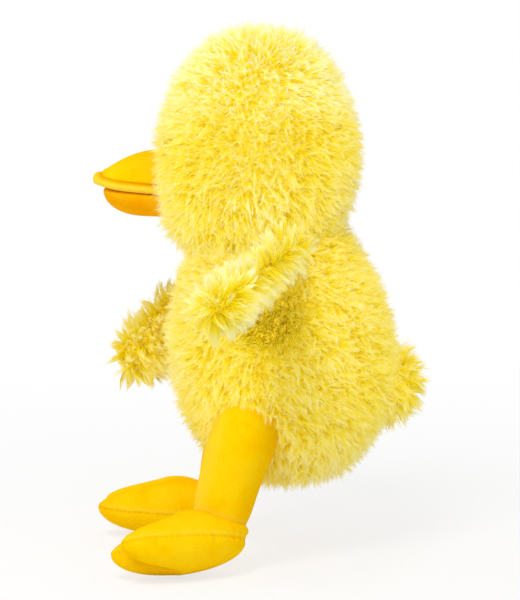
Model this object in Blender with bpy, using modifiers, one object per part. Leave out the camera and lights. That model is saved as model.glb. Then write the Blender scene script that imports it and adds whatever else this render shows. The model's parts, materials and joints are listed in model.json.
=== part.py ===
# Plush duck: a sitting soft toy with a fur head, body, wings and tail, and smooth bill, legs and feet.
# Frame: metres, +Z up, the duck faces -Y and its left side is +X.
# The origin is the middle of the flat seat under the body.
# Every soft piece is a sewn cover, open where it is sewn on, around its own stuffing.
# The fur itself is left out: a fur cover's outside lies halfway up its pile.

import math

import bmesh
import bpy
from mathutils import Matrix, Vector

# Covers and clearances
FUR_WALL = 0.006            # backing and the lower half of the pile
SMOOTH_WALL = 0.002         # short-pile cloth of the bill, legs and feet
SEWN_GAP = 0.0003           # between pieces that are sewn together
FILL_GAP = 0.0006           # between a cover and its stuffing
SOCKET_GAP = 0.0003         # between a limb's round end and its socket
TURNING_GAP = 0.0009        # between other faceted pieces that turn past each other
OVERRUN = 0.02              # how far a cutter runs past what it cuts
MERGE_DISTANCE = 0.00001    # points of a turned piece closer than this are one

# Body
BODY_WIDTH = 0.150
BODY_DEPTH = 0.157
BODY_HEIGHT = 0.201
SEAT_FLAT_DEPTH = 0.0005    # how much of the bottom the flat seat takes off
POUCH_WIDTH = 0.068
POUCH_DEPTH = 0.060
POUCH_HEIGHT = 0.030

# Tail
TAIL_LENGTH = 0.074
TAIL_WIDTH = 0.050
TAIL_HEIGHT = 0.062
TAIL_REACH = 0.024          # how far the tail stands out behind the body
TAIL_CENTRE_HEIGHT = 0.064
TAIL_TILT = math.radians(6)

# Head
HEAD_WIDTH = 0.1415
HEAD_HEIGHT = 0.165
HEAD_FORWARD = 0.0172
NECK_OVERLAP = 0.045        # how far the head sinks into the top of the body
HEAD_TURN = math.radians(-22)
NECK_OPENING_RADIUS = 0.026

# Bill
BILL_REACH = 0.054          # from the head to the tip
BILL_WIDTH = 0.054
UPPER_BILL_HEIGHT = 0.031
LOWER_BILL_HEIGHT = 0.0155
BILL_LIP_HEIGHT = 0.003     # the rolled edge of the upper bill below its middle
BILL_LIP_OVERHANG = 0.002   # how far that edge stands out past the lower bill
LOWER_BILL_SETBACK = 0.0055
BILL_ROOT_DEPTH = 0.022     # how deep the bill's form starts inside the head
BILL_LEVEL = 0.0355         # the middle of the bill below the middle of the head
BILL_TILT = math.radians(3.5)

# Eyes
EYE_RADIUS = 0.006
EYE_HEIGHT = 0.0045
EYE_SEAT_DEPTH = 0.004
EYE_SPREAD = math.radians(31)
EYE_LEVEL = 0.005
EYE_SHANK_RADIUS = 0.002
EYE_SHANK_LENGTH = 0.012
EYE_WASHER_RADIUS = 0.0065
EYE_WASHER_THICKNESS = 0.0015

# Wings
WING_LENGTH = 0.156
WING_WIDTH = 0.041
WING_THICKNESS = 0.030
WING_ROOT_RADIUS = 0.013
WING_ROOT_OPENING_RADIUS = 0.005
SHOULDER_HALF_SPAN = 0.068
SHOULDER_FORWARD = 0.004
SHOULDER_DROP = 0.030       # the shoulder below the top of the body
# A wing's rest angles: raised out from hanging straight down, and swept to the front
LEFT_WING_ANGLES = (math.radians(81), math.radians(25))
RIGHT_WING_ANGLES = (math.radians(18), math.radians(43))

# Legs
HIP_RADIUS = 0.0255
HIP_HALF_SPAN = 0.0575
HIP_FORWARD = 0.034
HIP_HEIGHT = 0.037
LEG_OPENING_RADIUS = 0.011
LEG_MIDDLE_RADIUS = 0.0222
ANKLE_RADIUS = 0.0192
ANKLE_HALF_SPAN = 0.0575
ANKLE_FORWARD = 0.052
ANKLE_DROP = 0.015          # the ankle below the seat

# Feet
FOOT_LENGTH = 0.104
FOOT_WIDTH = 0.058
FOOT_HEIGHT = 0.040
FOOT_DROP = 0.0245          # the seam around the foot below the ankle
FOOT_HEEL = 0.018           # the heel behind the ankle
TOE_CLEFT_DEPTH = 0.014
TOE_CLEFT_SPREAD = math.radians(20)
TOE_GROOVE_WIDTH = 0.009     # of the dent between the toes, on both panels
FOOT_FILL_SLACK = 0.0018    # between the panels and their stuffing, where the seam draws in
ANKLE_SWING = math.radians(15)
# The right leg hangs this much further back than the left one
RIGHT_LEG_BACK = math.radians(3)
# The hip's swing from rest: back, then forward
HIP_SWING = (math.radians(-8), math.radians(48))
LEFT_FOOT_ANGLES = (math.radians(1.5), math.radians(-29), math.radians(15))
RIGHT_FOOT_ANGLES = (math.radians(3), math.radians(0), math.radians(-15))

# Colours: red, green, blue
FUR_YELLOW = (0.93, 0.80, 0.13)
VELOUR_YELLOW = (1.0, 0.56, 0.0)
BILL_ORANGE = (1.0, 0.42, 0.0)
EYE_BLACK = (0.01, 0.01, 0.012)
STUFFING_WHITE = (0.9, 0.9, 0.88)
POUCH_CLOTH = (0.8, 0.8, 0.76)
WASHER_WHITE = (0.85, 0.85, 0.82)

# Rings of each soft form, from its first end to its last.
# A body ring: its place along the height, its radius, and how far it leans back, as shares.
body_ring_shares = (
    (0, 0.36, 0.05), (0.03, 0.58, 0.07), (0.10, 0.78, 0.08), (0.23, 0.95, 0.05), (0.39, 1.02, 0.01),
    (0.55, 0.99, -0.02), (0.70, 0.90, -0.05), (0.84, 0.76, -0.07), (0.95, 0.55, -0.07),
)
# A head or tail ring: its place along the height and its radius, as shares.
head_ring_shares = (
    (0.024, 0.53), (0.097, 0.80), (0.206, 0.91), (0.34, 0.98),
    (0.515, 1.007), (0.703, 0.895), (0.86, 0.706), (0.96, 0.42),
)
tail_ring_shares = ((0.07, 0.55), (0.30, 0.98), (0.58, 0.97), (0.82, 0.72), (0.95, 0.42))
# A wing ring: place along the wing, half thickness, half width, as shares.
wing_ring_shares = (
    (0.10, 0.70, 0.62), (0.30, 0.82, 0.74), (0.55, 0.97, 0.93), (0.78, 0.98, 1.08), (0.93, 0.80, 0.95),
)
# A bill ring: place from the root to the tip, half width, height, as shares.
upper_bill_ring_shares = (
    (0.10, 1.0, 1.0), (0.38, 1.0, 0.96), (0.60, 1.02, 0.82), (0.78, 0.97, 0.58), (0.92, 0.72, 0.32),
)
lower_bill_ring_shares = (
    (0.10, 0.96, 1.0), (0.38, 0.97, 1.07), (0.60, 0.98, 1.07), (0.78, 0.92, 0.96), (0.92, 0.72, 0.70),
)
# A round end's pole, the place and radius of its first ring, and its widest ring, as shares of
# its radius. They lie outside the ball, because smoothing draws them in.
ball_pole_share = 1.066
ball_ring_share = 0.79
ball_widest_share = 1.02
foot_instep_share = 0.30    # how much higher the foot is over the instep than at the toes
foot_sole_share = -0.10     # the same under the sole, where the heel is the thinner end
toe_groove_share = 0.60
toe_bluntness_share = 0.65  # power of the outline's round before the ankle, 1 for a plain oval
foot_back_share = 0.72      # width of the heel's end against the toes' end

# Mesh density: counts of faces round and along
FORM_SEGMENTS = 12
LIMB_SEGMENTS = 10
INNER_SEGMENTS = 8
FOOT_SEGMENTS = 24
FOOT_RINGS = 8
TURNED_STEPS = 12
BALL_SEGMENTS = 18
BALL_RINGS = 10
EYE_DOME_POINTS = 4
ANKLE_ARC_POINTS = 5
SWING_STEPS = 4

FRONT = Vector((0, -1, 0))
UP = Vector((0, 0, 1))
SIDE = Vector((1, 0, 0))


# The scene
def clear_scene():
    for old in list(bpy.data.objects):
        bpy.data.objects.remove(old, do_unlink=True)


def new_collection(name):
    group = bpy.data.collections.new(name)
    bpy.context.scene.collection.children.link(group)
    return group


def new_material(name, colour, roughness):
    material = bpy.data.materials.new(name)
    material.use_nodes = True
    shader = material.node_tree.nodes["Principled BSDF"]
    shader.inputs["Base Color"].default_value = (*colour, 1)
    shader.inputs["Roughness"].default_value = roughness
    shader.inputs["Metallic"].default_value = 0
    material.diffuse_color = (*colour, 1)
    return material


def new_object(name, mesh, group, parent=None, material=None):
    piece = bpy.data.objects.new(name, mesh)
    group.objects.link(piece)
    piece.parent = parent
    if material:
        mesh.materials.append(material)
    if group is cutters:
        piece.hide_render = True
        piece.display_type = "WIRE"
    return piece


def new_axis(name, place, turn, group, parent=None):
    axis = bpy.data.objects.new(name, None)
    axis.empty_display_size = HIP_RADIUS
    axis.matrix_basis = Matrix.Translation(place) @ turn.to_4x4()
    axis.parent = parent
    group.objects.link(axis)
    return axis


def mesh_from(name, shape):
    mesh = bpy.data.meshes.new(name)
    shape.to_mesh(mesh)
    shape.free()
    mesh.shade_smooth()
    mesh.set_sharp_from_angle(angle=math.radians(50))
    return mesh


# Soft forms
def swollen_form(name, rings, ends, segments, inset=0):
    """A coarse closed cage of rings between two end points, moved in by inset."""
    shape = bmesh.new()
    ring_count = len(rings)
    if inset > 0:
        segments = INNER_SEGMENTS
    bmesh.ops.create_uvsphere(shape, u_segments=segments, v_segments=ring_count + 1, radius=1)
    swell = 1 / math.cos(math.pi / segments)
    for vertex in shape.verts:
        level = (ring_count + 1) * math.acos(max(-1, min(1, -vertex.co.z))) / math.pi
        index = round(level) - 1
        if index < 0 or index >= ring_count:
            vertex.co = Vector((0, 0, ends[0] if index < 0 else ends[1]))
            continue
        place, half_x, half_front, half_back = rings[index]
        flat = Vector((vertex.co.x, vertex.co.y)).normalized()
        depth = half_back if flat.y > 0 else half_front
        vertex.co = Vector((flat.x * half_x * swell, flat.y * depth * swell, place))
    shape.normal_update()
    moved = [vertex.co - vertex.normal * inset for vertex in shape.verts]
    for vertex, place in zip(shape.verts, moved):
        vertex.co = place
    return mesh_from(name, shape)


def soften(piece):
    smooth = piece.modifiers.new("rounding", "SUBSURF")
    smooth.levels = 1
    smooth.render_levels = 1


def combine(piece, other, operation="DIFFERENCE"):
    step = piece.modifiers.new(f"{operation.lower()}_{other.name}", "BOOLEAN")
    step.operation = operation
    step.solver = "EXACT"
    step.object = other


def soft_object(name, form, group, parent, material=None, inset=0):
    piece = new_object(name, form(name, inset), group, parent, material)
    soften(piece)
    return piece


def stuffed_pair(name, form, parent, wall, cloth, cuts, cover_cuts=()):
    """A sewn cover, open where its cuts reach the inside, and the stuffing that fills it."""
    core = soft_object(f"{name}_core", form, cutters, parent, None, wall)
    cover = soft_object(f"{name}_cover", form, duck, parent, cloth)
    stuffing = soft_object(f"{name}_stuffing", form, duck, parent, stuffing_material, wall + FILL_GAP)
    combine(cover, core)
    for cutter in (*cuts, *cover_cuts):
        combine(cover, cutter)
    for cutter in cuts:
        combine(stuffing, cutter)
    return cover, stuffing


def body_form(name, inset):
    radius_x = BODY_WIDTH / 2
    radius_y = BODY_DEPTH / 2
    rings = [
        (
            along * BODY_HEIGHT - SEAT_FLAT_DEPTH, share * radius_x,
            (share - lean) * radius_y, (share + lean) * radius_y,
        )
        for along, share, lean in body_ring_shares
    ]
    return swollen_form(name, rings, (-SEAT_FLAT_DEPTH, BODY_HEIGHT), FORM_SEGMENTS, inset)


def head_form(name, inset):
    radius = HEAD_WIDTH / 2
    rings = [
        ((along - 1 / 2) * HEAD_HEIGHT, share * radius, share * radius, share * radius)
        for along, share in head_ring_shares
    ]
    return swollen_form(name, rings, (-HEAD_HEIGHT / 2, HEAD_HEIGHT / 2), FORM_SEGMENTS, inset)


def tail_form(name, inset):
    half_width = TAIL_WIDTH / 2
    half_height = TAIL_HEIGHT / 2
    rings = [
        ((along - 1 / 2) * TAIL_LENGTH, share * half_width, share * half_height, share * half_height)
        for along, share in tail_ring_shares
    ]
    return swollen_form(name, rings, (-TAIL_LENGTH / 2, TAIL_LENGTH / 2), LIMB_SEGMENTS, inset)


def ball_end_rings(radius):
    """The first rings of a form that starts as a ball about its own origin."""
    side = ball_ring_share * radius
    widest = ball_widest_share * radius
    return [(-side, side, side, side), (0, widest, widest, widest)]


def wing_form(name, inset):
    rings = ball_end_rings(WING_ROOT_RADIUS)
    for along, thick, wide in wing_ring_shares:
        half_width = wide * WING_WIDTH / 2
        rings.append((along * WING_LENGTH, thick * WING_THICKNESS / 2, half_width, half_width))
    ends = (-ball_pole_share * WING_ROOT_RADIUS, WING_LENGTH)
    return swollen_form(name, rings, ends, LIMB_SEGMENTS, inset)


def leg_form(name, inset):
    middle = LEG_LENGTH / 2
    side = ball_ring_share * ANKLE_RADIUS
    ankle = ball_widest_share * ANKLE_RADIUS
    rings = ball_end_rings(HIP_RADIUS)
    rings.append((middle, LEG_MIDDLE_RADIUS, LEG_MIDDLE_RADIUS, LEG_MIDDLE_RADIUS))
    rings.append((LEG_LENGTH, ankle, ankle, ankle))
    rings.append((LEG_LENGTH + side, side, side, side))
    ends = (-ball_pole_share * HIP_RADIUS, LEG_LENGTH + ball_pole_share * ANKLE_RADIUS)
    return swollen_form(name, rings, ends, LIMB_SEGMENTS, inset)


def upper_bill_form(name, inset):
    """Along the form: from inside the head to the tip. A ring's front is its underside."""
    length = BILL_ROOT_DEPTH + BILL_REACH
    rings = [
        (along * length, wide * BILL_WIDTH / 2, BILL_LIP_HEIGHT, high * UPPER_BILL_HEIGHT)
        for along, wide, high in upper_bill_ring_shares
    ]
    return swollen_form(name, rings, (0, length), LIMB_SEGMENTS, inset)


def lower_bill_form(name, inset):
    """A ring's back is its flat top, right under the lip of the upper bill."""
    length = BILL_ROOT_DEPTH + BILL_REACH - LOWER_BILL_SETBACK
    half = BILL_WIDTH / 2 - BILL_LIP_OVERHANG
    rings = [
        (along * length, wide * half, high * LOWER_BILL_HEIGHT, 0)
        for along, wide, high in lower_bill_ring_shares
    ]
    return swollen_form(name, rings, (0, length), LIMB_SEGMENTS, inset)


# Simple cutters
def ball(name, radius, parent):
    """A faceted ball whose flats, not its corners, lie at the radius."""
    shape = bmesh.new()
    corner_radius = radius / math.cos(math.pi / BALL_SEGMENTS)
    bmesh.ops.create_uvsphere(shape, u_segments=BALL_SEGMENTS, v_segments=BALL_RINGS, radius=corner_radius)
    return new_object(name, mesh_from(name, shape), cutters, parent)


def rod(name, radius, start, end, parent):
    """A cylinder along the parent's Z."""
    shape = bmesh.new()
    bmesh.ops.create_cone(
        shape, cap_ends=True, segments=BALL_SEGMENTS, radius1=radius, radius2=radius, depth=end - start,
        matrix=Matrix.Translation((0, 0, (start + end) / 2)),
    )
    return new_object(name, mesh_from(name, shape), cutters, parent)


def block(name, size, centre, parent=None):
    shape = bmesh.new()
    place = Matrix.Translation(centre) @ Matrix.Diagonal((*size, 1))
    bmesh.ops.create_cube(shape, size=1, matrix=place)
    return new_object(name, mesh_from(name, shape), cutters, parent)


def turned(name, profile, group, parent, material=None):
    """A profile of (radius, height) points, outer side top to bottom, turned about Z."""
    shape = bmesh.new()
    points = [shape.verts.new((radius, 0, height)) for radius, height in profile]
    for first, second in zip(points, points[1:]):
        shape.edges.new((first, second))
    piece = new_object(name, mesh_from(name, shape), group, parent, material)
    screw = piece.modifiers.new("turning", "SCREW")
    screw.steps = TURNED_STEPS
    screw.render_steps = TURNED_STEPS
    screw.use_merge_vertices = True
    screw.merge_threshold = MERGE_DISTANCE
    screw.use_smooth_shade = True
    return piece


def turn_along(direction, side):
    """Turns local Z along direction, and local X as near side as it can."""
    along = direction.normalized()
    across = (side - along * side.dot(along)).normalized()
    return Matrix((across, along.cross(across), along)).transposed()


def leg_swing_room(side_name):
    """One cutter around the leg at every step of its swing, which dents the body as it passes."""
    name = f"{side_name}_leg_room"
    hip = axes[f"{side_name}_leg"].matrix_basis
    centre = Matrix.Translation(hip.translation)
    leg = soft_object(f"{name}_leg", leg_form, cutters, None, None, -TURNING_GAP)
    bpy.context.view_layer.update()
    smooth_leg = bpy.data.meshes.new_from_object(leg.evaluated_get(bpy.context.evaluated_depsgraph_get()))
    back, forward = HIP_SWING
    shape = bmesh.new()
    for index in range(SWING_STEPS + 1):
        angle = back + (forward - back) * index / SWING_STEPS
        first = len(shape.verts)
        shape.from_mesh(smooth_leg)
        shape.verts.ensure_lookup_table()
        swung = centre @ Matrix.Rotation(-angle, 4, "X") @ centre.inverted() @ hip
        bmesh.ops.transform(shape, matrix=swung, verts=shape.verts[first:])
    bmesh.ops.delete(shape, geom=list(shape.edges), context="EDGES_FACES")
    hull = bmesh.ops.convex_hull(shape, input=shape.verts, use_existing_faces=False)
    inside = [item for item in hull["geom_interior"] if isinstance(item, bmesh.types.BMVert)]
    bmesh.ops.delete(shape, geom=inside, context="VERTS")
    return new_object(name, mesh_from(name, shape), cutters)


# Body: cover, stuffing, pellet pouch and tail
def make_body():
    seat = block("seat_plane", (BODY_WIDTH, BODY_DEPTH, OVERRUN), (0, 0, -OVERRUN / 2))
    head_seat = soft_object("head_seat", head_form, cutters, head_axis, None, -TURNING_GAP)
    cuts = [head_seat]
    for side_name in ("left", "right"):
        shoulder = axes[f"{side_name}_wing"]
        cuts.append(ball(f"{side_name}_shoulder_seat", WING_ROOT_RADIUS + SOCKET_GAP, shoulder))
        cuts.append(leg_swing_room(side_name))
    cover, stuffing = stuffed_pair("body", body_form, None, FUR_WALL, fur_material, cuts, [seat])

    pouch_centre = (0, 0, FUR_WALL + POUCH_HEIGHT / 4)
    pouch = pouch_shape("pellet_pouch", 0, pouch_centre, duck)
    pouch.data.materials.append(pouch_material)
    inside = soft_object("body_inside", body_form, cutters, None, None, FUR_WALL + SEWN_GAP)
    combine(pouch, inside, "INTERSECT")
    combine(stuffing, pouch_shape("pouch_seat", SEWN_GAP, pouch_centre, cutters))


def pouch_shape(name, grow, centre, group):
    shape = bmesh.new()
    bmesh.ops.create_uvsphere(shape, u_segments=BALL_SEGMENTS, v_segments=BALL_RINGS, radius=1 / 2)
    size = (POUCH_WIDTH + 2 * grow, POUCH_DEPTH + 2 * grow, POUCH_HEIGHT + 2 * grow)
    bmesh.ops.transform(shape, matrix=Matrix.Diagonal((*size, 1)), verts=shape.verts)
    piece = new_object(name, mesh_from(name, shape), group)
    piece.location = centre
    return piece


def make_tail():
    body_seat = soft_object("tail_root", body_form, cutters, None, None, -SEWN_GAP)
    stuffed_pair("tail", tail_form, tail_axis, FUR_WALL, fur_material, [body_seat])


# Head: cover, stuffing, eyes and bill
def eye_turn(side):
    """An eye's Z points out of the head, level, to one side of straight ahead."""
    spread = side * EYE_SPREAD
    outward = Vector((math.sin(spread), -math.cos(spread), 0))
    return turn_along(outward, UP), outward


def head_radius_at_eyes():
    """The head form's radius at the height of the eyes, between the two nearest rings."""
    level = EYE_LEVEL / HEAD_HEIGHT + 1 / 2
    for (low, low_share), (high, high_share) in zip(head_ring_shares, head_ring_shares[1:]):
        if low <= level <= high:
            share = low_share + (high_share - low_share) * (level - low) / (high - low)
            return share * HEAD_WIDTH / 2
    return HEAD_WIDTH / 2


def make_eye(side_name, side):
    turn, outward = eye_turn(side)
    seat_distance = head_radius_at_eyes() - EYE_SEAT_DEPTH
    axis = new_axis(f"{side_name}_eye_axis", outward * seat_distance + UP * EYE_LEVEL, turn, duck, head_axis)

    dome = []
    for index in range(EYE_DOME_POINTS + 1):
        angle = math.pi / 2 * index / EYE_DOME_POINTS
        dome.append((EYE_RADIUS * math.sin(angle), EYE_HEIGHT * math.cos(angle)))
    shank = [(EYE_SHANK_RADIUS, 0), (EYE_SHANK_RADIUS, -EYE_SHANK_LENGTH), (0, -EYE_SHANK_LENGTH)]
    turned(f"{side_name}_eye", dome + shank, duck, axis, eye_material)

    hole = EYE_SHANK_RADIUS + SEWN_GAP
    washer_top = EYE_SEAT_DEPTH - FUR_WALL - SEWN_GAP
    washer_bottom = washer_top - EYE_WASHER_THICKNESS
    washer = [
        (hole, washer_top), (EYE_WASHER_RADIUS, washer_top), (EYE_WASHER_RADIUS, washer_bottom),
        (hole, washer_bottom), (hole, washer_top),
    ]
    turned(f"{side_name}_eye_washer", washer, duck, axis, washer_material)

    room = EYE_WASHER_RADIUS + SEWN_GAP
    depth = EYE_SHANK_LENGTH + SEWN_GAP
    top = washer_top + SEWN_GAP
    bottom = washer_bottom - SEWN_GAP
    recess = rod(f"{side_name}_eye_recess", EYE_RADIUS + SEWN_GAP, -SEWN_GAP, OVERRUN, axis)
    shank_hole = rod(f"{side_name}_eye_shank_hole", hole, -depth, OVERRUN, axis)
    cloth_room = rod(f"{side_name}_eye_washer_cloth_room", room, bottom - OVERRUN, top, axis)
    stuffing_room = rod(f"{side_name}_eye_washer_room", room, bottom, top + OVERRUN, axis)
    return (recess, shank_hole, cloth_room), (shank_hole, stuffing_room)


def make_head():
    cover, stuffing = stuffed_pair("head", head_form, head_axis, FUR_WALL, fur_material, [])
    opening = rod("neck_opening", NECK_OPENING_RADIUS, -HEAD_HEIGHT, -HEAD_HEIGHT / 4, head_axis)
    combine(cover, opening)
    for side_name, side in (("left", 1), ("right", -1)):
        cover_cuts, stuffing_cuts = make_eye(side_name, side)
        for cutter in cover_cuts:
            combine(cover, cutter)
        for cutter in stuffing_cuts:
            combine(stuffing, cutter)


def make_bill():
    bill_seat = soft_object("bill_root", head_form, cutters, head_axis, None, -SEWN_GAP)
    below_lip = Vector((0, -BILL_LIP_HEIGHT - SEWN_GAP, 0))
    lower_axis = new_axis("lower_bill_axis", below_lip, Matrix.Identity(3), duck, bill_axis)
    stuffed_pair("upper_bill", upper_bill_form, bill_axis, SMOOTH_WALL, velour_material, [bill_seat])
    stuffed_pair("lower_bill", lower_bill_form, lower_axis, SMOOTH_WALL, bill_material, [bill_seat])


# Wings
def make_wing(side_name):
    axis = axes[f"{side_name}_wing"]
    opening = rod(f"{side_name}_wing_opening", WING_ROOT_OPENING_RADIUS, -OVERRUN, 0, axis)
    stuffed_pair(f"{side_name}_wing", wing_form, axis, FUR_WALL, fur_material, [], [opening])


# Legs
def make_leg(side_name):
    axis = axes[f"{side_name}_leg"]
    end = LEG_LENGTH + ANKLE_RADIUS + OVERRUN
    opening = rod(f"{side_name}_leg_opening", LEG_OPENING_RADIUS, -HIP_RADIUS - OVERRUN, end, axis)
    stuffed_pair(f"{side_name}_leg", leg_form, axis, SMOOTH_WALL, velour_material, [], [opening])


# Feet
def foot_point(direction, out, up):
    """A point of the pillow form of the foot, about the middle of its seam plane."""
    angle = math.atan2(direction.x, -direction.y)
    ahead = math.cos(angle)
    cleft = math.exp(-((angle / TOE_CLEFT_SPREAD) ** 2))
    widening = (1 + foot_back_share) / 2 + (1 - foot_back_share) / 2 * ahead
    blunt = ahead ** toe_bluntness_share if ahead > 0 else ahead
    forward = (FOOT_LENGTH / 2 * blunt - TOE_CLEFT_DEPTH * cleft) * out
    sideways = FOOT_WIDTH / 2 * widening * math.sin(angle) * out
    rise = 1 - (foot_instep_share if up > 0 else foot_sole_share) * ahead * out
    groove = 1 - toe_groove_share * math.exp(-((sideways / TOE_GROOVE_WIDTH) ** 2)) * max(0, ahead) * out
    return Vector((sideways, -forward, up * FOOT_HEIGHT / 2 * rise * groove))


def foot_mesh(name, inset=0, half=0):
    """The whole pillow, or its top (half 1) or its sole (half -1) alone, as an open surface."""
    shape = bmesh.new()
    bmesh.ops.create_uvsphere(shape, u_segments=FOOT_SEGMENTS, v_segments=FOOT_RINGS, radius=1)
    for vertex in shape.verts:
        up = vertex.co.z
        out = math.sqrt(max(0, 1 - up * up))
        direction = Vector((vertex.co.x, vertex.co.y, 0))
        if len(vertex.link_faces) == FOOT_SEGMENTS:
            vertex.co = Vector((0, 0, up * FOOT_HEIGHT / 2))
            continue
        vertex.co = foot_point(direction.normalized(), out, up)
    shape.normal_update()
    moved = [vertex.co - vertex.normal * inset for vertex in shape.verts]
    for vertex, place in zip(shape.verts, moved):
        vertex.co = place
    if half:
        unwanted = [face for face in shape.faces if face.calc_center_median().z * half < 0]
        bmesh.ops.delete(shape, geom=unwanted, context="FACES")
    return mesh_from(name, shape)


def ankle_room(side_name):
    """The room that the end of the leg needs in the foot: a ball, and a cone for its swing."""
    leg = axes[f"{side_name}_leg"]
    radius = (ANKLE_RADIUS + SOCKET_GAP) / math.cos(math.pi / TURNED_STEPS)
    rim = radius / math.cos(ANKLE_SWING)
    flare = (LEG_MIDDLE_RADIUS - ANKLE_RADIUS) * 2 + LEG_LENGTH * math.tan(ANKLE_SWING)
    profile = [(0, LEG_LENGTH), (rim + flare, LEG_LENGTH), (rim, 0)]
    for index in range(1, ANKLE_ARC_POINTS + 1):
        angle = math.pi / 2 * index / ANKLE_ARC_POINTS
        profile.append((radius * math.cos(angle), -radius * math.sin(angle)))
    room = turned(f"{side_name}_ankle_room", profile, cutters, leg)
    room.matrix_basis = Matrix.Translation((0, 0, LEG_LENGTH)) @ Matrix.Rotation(math.pi, 4, "X")
    return room


def make_foot(side_name):
    axis = axes[f"{side_name}_foot"]
    middle = Vector((0, FOOT_HEEL - FOOT_LENGTH / 2, -FOOT_DROP))
    room = ankle_room(side_name)
    for panel, half in (("top", 1), ("sole", -1)):
        name = f"{side_name}_foot_{panel}_panel"
        piece = new_object(name, foot_mesh(name, 0, half), duck, axis, velour_material)
        piece.location = middle
        wall = piece.modifiers.new("cloth", "SOLIDIFY")
        wall.thickness = SMOOTH_WALL
        wall.offset = -1
        wall.use_even_offset = True
        other_half = middle - UP * half * (FOOT_HEIGHT - SEWN_GAP) / 2
        size = (FOOT_LENGTH, FOOT_LENGTH + OVERRUN, FOOT_HEIGHT)
        combine(piece, block(f"{name}_seam_plane", size, other_half, axis))
        combine(piece, room)
    name = f"{side_name}_foot_stuffing"
    stuffing = new_object(name, foot_mesh(name, SMOOTH_WALL + FOOT_FILL_SLACK), duck, axis, stuffing_material)
    stuffing.location = middle
    combine(stuffing, room)


clear_scene()
duck = new_collection("plush_duck")
cutters = new_collection("cutters")

fur_material = new_material("fur_cloth", FUR_YELLOW, 0.95)
velour_material = new_material("velour", VELOUR_YELLOW, 0.85)
bill_material = new_material("lower_bill_velour", BILL_ORANGE, 0.85)
eye_material = new_material("eye_plastic", EYE_BLACK, 0.12)
washer_material = new_material("washer_plastic", WASHER_WHITE, 0.5)
stuffing_material = new_material("stuffing", STUFFING_WHITE, 1.0)
pouch_material = new_material("pouch_cloth", POUCH_CLOTH, 0.9)

# Joint axes
head_middle = Vector((0, -HEAD_FORWARD, BODY_HEIGHT - NECK_OVERLAP + HEAD_HEIGHT / 2))
head_axis = new_axis("head_turn_axis", head_middle, Matrix.Rotation(HEAD_TURN, 3, "Z"), duck)
bill_start = head_radius_at_eyes() - BILL_ROOT_DEPTH
bill_direction = Matrix.Rotation(-BILL_TILT, 3, "X") @ FRONT
bill_axis = new_axis(
    "bill_axis", FRONT * bill_start - UP * BILL_LEVEL, turn_along(bill_direction, SIDE), duck, head_axis
)
tail_place = Vector((0, BODY_DEPTH / 2 + TAIL_REACH - TAIL_LENGTH / 2, TAIL_CENTRE_HEIGHT))
tail_direction = Matrix.Rotation(TAIL_TILT, 3, "X") @ -FRONT
tail_axis = new_axis("tail_axis", tail_place, turn_along(tail_direction, SIDE), duck)

axes = {}
leg_run = Vector((
    ANKLE_HALF_SPAN - HIP_HALF_SPAN, HIP_FORWARD - ANKLE_FORWARD, -ANKLE_DROP - HIP_HEIGHT
))
LEG_LENGTH = leg_run.length
for side_name, side in (("left", 1), ("right", -1)):
    mirror = Vector((side, 1, 1))
    raise_angle, sweep_angle = LEFT_WING_ANGLES if side > 0 else RIGHT_WING_ANGLES
    shoulder = Vector((SHOULDER_HALF_SPAN, -SHOULDER_FORWARD, BODY_HEIGHT - SHOULDER_DROP)) * mirror
    raised = Matrix.Rotation(-side * raise_angle, 3, "Y")
    swept_down = Matrix.Rotation(-sweep_angle, 3, "X") @ -UP
    wing_turn = raised @ turn_along(swept_down, SIDE * side)
    axes[f"{side_name}_wing"] = new_axis(f"{side_name}_wing_axis", shoulder, wing_turn, duck)

    hip = Vector((HIP_HALF_SPAN, -HIP_FORWARD, HIP_HEIGHT)) * mirror
    run = Matrix.Rotation(RIGHT_LEG_BACK if side < 0 else 0, 3, "X") @ leg_run * mirror
    axes[f"{side_name}_leg"] = new_axis(f"{side_name}_hip_axis", hip, turn_along(run, SIDE * side), duck)
    pitch, roll, yaw = LEFT_FOOT_ANGLES if side > 0 else RIGHT_FOOT_ANGLES
    foot_turn = Matrix.Rotation(yaw, 3, "Z") @ Matrix.Rotation(roll, 3, "Y") @ Matrix.Rotation(-pitch, 3, "X")
    axes[f"{side_name}_foot"] = new_axis(f"{side_name}_ankle_axis", hip + run, foot_turn, duck)

bpy.context.view_layer.update()
make_body()
make_tail()
make_head()
make_bill()
for side_name in ("left", "right"):
    make_wing(side_name)
    make_leg(side_name)
    make_foot(side_name)
bpy.context.view_layer.update()
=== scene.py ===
import json
import math

import bmesh
import bpy
import numpy as np
from mathutils import Matrix, Vector, kdtree
from mathutils.bvhtree import BVHTree


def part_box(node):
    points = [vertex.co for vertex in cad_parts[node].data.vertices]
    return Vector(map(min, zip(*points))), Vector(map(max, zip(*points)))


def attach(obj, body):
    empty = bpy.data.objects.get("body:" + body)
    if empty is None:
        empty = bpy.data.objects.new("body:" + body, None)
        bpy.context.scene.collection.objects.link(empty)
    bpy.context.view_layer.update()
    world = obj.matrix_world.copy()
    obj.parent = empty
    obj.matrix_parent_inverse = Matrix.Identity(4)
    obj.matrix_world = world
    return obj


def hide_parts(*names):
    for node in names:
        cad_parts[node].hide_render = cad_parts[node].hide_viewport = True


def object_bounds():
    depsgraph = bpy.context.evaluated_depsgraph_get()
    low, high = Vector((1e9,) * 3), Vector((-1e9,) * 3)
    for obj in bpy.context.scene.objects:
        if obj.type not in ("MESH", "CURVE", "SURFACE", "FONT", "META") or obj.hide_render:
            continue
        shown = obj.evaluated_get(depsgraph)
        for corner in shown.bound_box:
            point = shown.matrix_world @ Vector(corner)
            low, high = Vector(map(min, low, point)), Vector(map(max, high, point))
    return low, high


# Plush duck: long fur on head, body, wings and tail, velour on bill, legs and feet.
# Metres, +Z up, the duck faces -Y, its left side is +X.

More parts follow.
